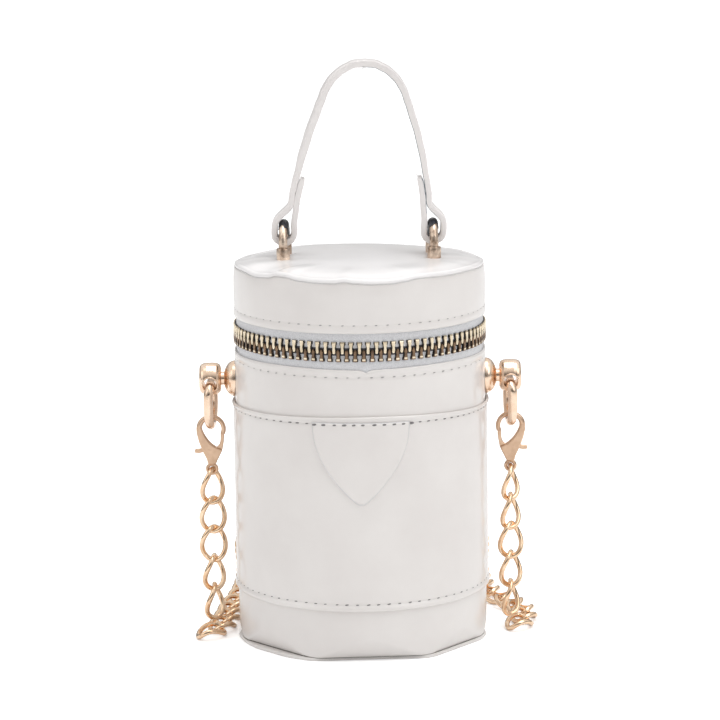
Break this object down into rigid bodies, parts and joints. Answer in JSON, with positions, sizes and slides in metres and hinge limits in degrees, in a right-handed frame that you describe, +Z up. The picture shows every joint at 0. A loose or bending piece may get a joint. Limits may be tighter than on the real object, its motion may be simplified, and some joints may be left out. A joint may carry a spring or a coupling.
{
  "type": "barrel bag",
  "caption": "Small white patent barrel bag with a zip-round lid hinged at the back, an arched leather top handle and a light-gold chain strap on side posts.",
  "frame": {"origin": "centre of the barrel's base, on the surface it stands on", "axes": "+Z up, the front tab faces -Y, +X to the right seen from the front"},
  "size_m": [0.1399, 0.2224, 0.2285],
  "materials": {
    "leather": "glossy patent",
    "strap_leather": "glossy patent",
    "board": "matte",
    "lining": "matte woven",
    "foam": "matte",
    "zip_tape": "matte woven",
    "zip_teeth": "polished pale",
    "fittings": "polished light rose gold",
    "claws": "satin rose gold",
    "sleeve": "glossy",
    "chain": "polished warm gold"
  },
  "bodies": {
    "root": {"base_panel": "leather", "base_board": "board", "barrel_leather": "leather", "barrel_board": "board", "barrel_lining": "lining", "wrap_band": "leather", "front_tab": "leather", "zip_tape_lower": "zip_tape", "zip_teeth_lower": "zip_teeth", "zip_end_stretches": "zip_tape", "zip_stops": "zip_teeth", "hinge_strip_lower": "leather", "side_post_left": "fittings", "side_post_right": "fittings", "side_nuts": "fittings", "chain_floor_left": "chain", "chain_floor_back": "chain", "chain_floor_right": "chain"},
    "lid": {"hinge_strip_upper": "leather", "zip_tape_upper": "zip_tape", "zip_teeth_upper": "zip_teeth", "lid_band": "leather", "lid_top": "leather", "lid_pad": "foam", "lid_board": "board", "lid_lining": "lining", "staple_left": "fittings", "staple_right": "fittings", "staple_sleeves": "sleeve", "staple_nuts": "fittings"},
    "handle": {"handle_strap": "strap_leather"},
    "slider": {"zip_slider": "fittings"},
    "pull_link": {"zip_pull_link": "fittings"},
    "pull": {"zip_pull": "fittings"},
    "ring_left": {"d_ring_left": "fittings"},
    "claw_left": {"claw_body_left": "claws", "claw_pin_left": "claws"},
    "gate_left": {"claw_gate_left": "claws"},
    "link_left_1": {"link_left_1": "chain"},
    "link_left_2": {"link_left_2": "chain"},
    "link_left_3": {"link_left_3": "chain"},
    "link_left_4": {"link_left_4": "chain"},
    "link_left_5": {"link_left_5": "chain"},
    "ring_right": {"d_ring_right": "fittings"},
    "claw_right": {"claw_body_right": "claws", "claw_pin_right": "claws"},
    "gate_right": {"claw_gate_right": "claws"},
    "link_right_1": {"link_right_1": "chain"},
    "link_right_2": {"link_right_2": "chain"},
    "link_right_3": {"link_right_3": "chain"},
    "link_right_4": {"link_right_4": "chain"},
    "link_right_5": {"link_right_5": "chain"}
  },
  "joints": [
    {"name": "lid_hinge", "type": "hinge", "parent": "root", "child": "lid", "pos_m": [0, 0.0498, 0.12275], "axis": [-1, 0, 0], "range_deg": [0, 100]},
    {"name": "handle_swing", "type": "hinge", "parent": "lid", "child": "handle", "pos_m": [0, 0, 0.15747], "axis": [1, 0, 0], "range_deg": [-70, 70]},
    {"name": "zip_run", "type": "hinge", "parent": "root", "child": "slider", "pos_m": [0, 0, 0.12275], "axis": [0, 0, -1], "range_deg": [0, 278]},
    {"name": "pull_lift", "type": "hinge", "parent": "slider", "child": "pull_link", "pos_m": [0.03561, 0.04156, 0.12275], "axis": [0.7594, -0.6507, 0], "range_deg": [0, 150]},
    {"name": "pull_swing", "type": "hinge", "parent": "pull_link", "child": "pull", "pos_m": [0.03561, 0.04156, 0.11906], "axis": [0.6507, 0.7594, 0], "range_deg": [-60, 60]},
    {"name": "ring_swing_left", "type": "hinge", "parent": "root", "child": "ring_left", "pos_m": [-0.05925, 0, 0.1007], "axis": [0, 1, 0], "range_deg": [-2, 80]},
    {"name": "claw_swing_left", "type": "hinge", "parent": "ring_left", "child": "claw_left", "pos_m": [-0.05925, 0, 0.0847], "axis": [0, -1, 0], "range_deg": [-40, 2.5]},
    {"name": "gate_open_left", "type": "hinge", "parent": "claw_left", "child": "gate_left", "pos_m": [-0.06042, 0, 0.07424], "axis": [0, -1, 0], "range_deg": [0, 28], "stiffness_Nm_per_rad": 0.002, "springref_deg": -17.19},
    {"name": "link_swing_left_1", "type": "hinge", "parent": "claw_left", "child": "link_left_1", "pos_m": [-0.05925, 0, 0.06663], "axis": [0, 1, 0], "range_deg": [-4, 25]},
    {"name": "link_swing_left_2", "type": "hinge", "parent": "link_left_1", "child": "link_left_2", "pos_m": [-0.05925, 0, 0.05481], "axis": [0, -1, 0], "range_deg": [-20, 5]},
    {"name": "link_swing_left_3", "type": "hinge", "parent": "link_left_2", "child": "link_left_3", "pos_m": [-0.05925, 0, 0.04299], "axis": [0, 1, 0], "range_deg": [-8, 4]},
    {"name": "link_swing_left_4", "type": "hinge", "parent": "link_left_3", "child": "link_left_4", "pos_m": [-0.05925, 0, 0.03116], "axis": [0, -1, 0], "range_deg": [-20, 13]},
    {"name": "link_swing_left_5", "type": "hinge", "parent": "link_left_4", "child": "link_left_5", "pos_m": [-0.05925, 0, 0.01934], "axis": [0, 1, 0], "range_deg": [-20, 20]},
    {"name": "ring_swing_right", "type": "hinge", "parent": "root", "child": "ring_right", "pos_m": [0.05925, 0, 0.1007], "axis": [0, -1, 0], "range_deg": [-2, 80]},
    {"name": "claw_swing_right", "type": "hinge", "parent": "ring_right", "child": "claw_right", "pos_m": [0.05925, 0, 0.0847], "axis": [0, 1, 0], "range_deg": [-40, 2.5]},
    {"name": "gate_open_right", "type": "hinge", "parent": "claw_right", "child": "gate_right", "pos_m": [0.06042, 0, 0.07424], "axis": [0, 1, 0], "range_deg": [0, 28], "stiffness_Nm_per_rad": 0.002, "springref_deg": -17.19},
    {"name": "link_swing_right_1", "type": "hinge", "parent": "claw_right", "child": "link_right_1", "pos_m": [0.05925, 0, 0.06663], "axis": [0, -1, 0], "range_deg": [-4, 25]},
    {"name": "link_swing_right_2", "type": "hinge", "parent": "link_right_1", "child": "link_right_2", "pos_m": [0.05925, 0, 0.05481], "axis": [0, 1, 0], "range_deg": [-20, 5]},
    {"name": "link_swing_right_3", "type": "hinge", "parent": "link_right_2", "child": "link_right_3", "pos_m": [0.05925, 0, 0.04299], "axis": [0, -1, 0], "range_deg": [-8, 20]},
    {"name": "link_swing_right_4", "type": "hinge", "parent": "link_right_3", "child": "link_right_4", "pos_m": [0.05925, 0, 0.03116], "axis": [0, 1, 0], "range_deg": [-20, 13]},
    {"name": "link_swing_right_5", "type": "hinge", "parent": "link_right_4", "child": "link_right_5", "pos_m": [0.05925, 0, 0.01934], "axis": [0, -1, 0], "range_deg": [-20, 20]}
  ]
}
